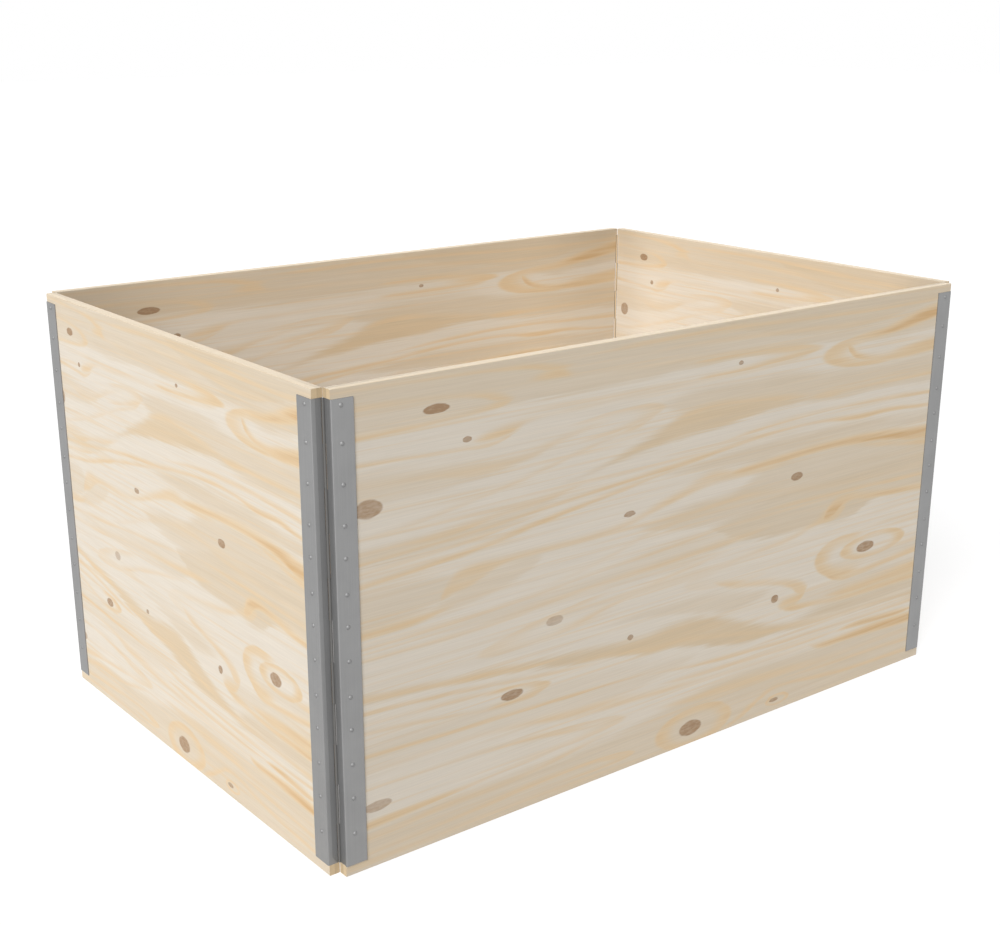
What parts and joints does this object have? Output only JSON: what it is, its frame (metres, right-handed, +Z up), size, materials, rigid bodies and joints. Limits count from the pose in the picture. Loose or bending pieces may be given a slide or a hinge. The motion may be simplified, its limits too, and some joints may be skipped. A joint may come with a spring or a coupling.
{
  "type": "pallet collar",
  "caption": "Open rectangular collar of pine panels with full-height riveted steel corner hinges; stands on a pallet to hold goods and folds flat when empty.",
  "frame": {"origin": "middle of the collar's plan, on the surface that the bottom rim rests on", "axes": "+X along the long panels, +Y from the front panel to the rear panel, +Z up"},
  "size_m": [1.186, 0.806, 0.637],
  "materials": {
    "pine": "bare sanded pine with horizontal grain and knots",
    "edge_strip_steel": "matt galvanised sheet",
    "hinge_steel": "dark matt sheet",
    "rivet_steel": "satin domed heads",
    "pin_steel": "plain drawn wire"
  },
  "bodies": {
    "front_side": {"front_panel": "pine", "front_panel_left_strip": "edge_strip_steel", "front_panel_right_strip": "edge_strip_steel", "front_panel_left_leaf": "hinge_steel", "front_panel_right_leaf": "hinge_steel", "front_panel_left_rivets": "rivet_steel", "front_panel_right_rivets": "rivet_steel", "front_right_pin": "pin_steel", "left_front_pin": "pin_steel"},
    "right_side": {"right_panel": "pine", "right_panel_front_strip": "edge_strip_steel", "right_panel_rear_strip": "edge_strip_steel", "right_panel_front_leaf": "hinge_steel", "right_panel_rear_leaf": "hinge_steel", "right_panel_front_rivets": "rivet_steel", "right_panel_rear_rivets": "rivet_steel", "right_rear_pin": "pin_steel"},
    "rear_side": {"rear_panel": "pine", "rear_panel_right_strip": "edge_strip_steel", "rear_panel_left_strip": "edge_strip_steel", "rear_panel_right_leaf": "hinge_steel", "rear_panel_left_leaf": "hinge_steel", "rear_panel_right_rivets": "rivet_steel", "rear_panel_left_rivets": "rivet_steel"},
    "left_side": {"left_panel": "pine", "left_panel_rear_strip": "edge_strip_steel", "left_panel_front_strip": "edge_strip_steel", "left_panel_rear_leaf": "hinge_steel", "left_panel_front_leaf": "hinge_steel", "left_panel_rear_rivets": "rivet_steel", "left_panel_front_rivets": "rivet_steel", "rear_left_pin": "pin_steel"}
  },
  "joints": [
    {"name": "front_left_hinge", "type": "hinge", "parent": "front_side", "child": "left_side", "pos_m": [-0.57475, -0.38475, 0], "axis": [0, 0, 1], "range_deg": [-89.8, 89.8]},
    {"name": "front_right_hinge", "type": "hinge", "parent": "front_side", "child": "right_side", "pos_m": [0.57475, -0.38475, 0], "axis": [0, 0, 1], "range_deg": [-89.8, 89.8]},
    {"name": "rear_left_hinge", "type": "hinge", "parent": "left_side", "child": "rear_side", "pos_m": [-0.57475, 0.38475, 0], "axis": [0, 0, 1], "range_deg": [-89.8, 89.8]}
  ],
  "couplings": [
    {"joint": "front_right_hinge", "follows": "front_left_hinge", "ratio": 1},
    {"joint": "rear_left_hinge", "follows": "front_left_hinge", "ratio": -1}
  ]
}
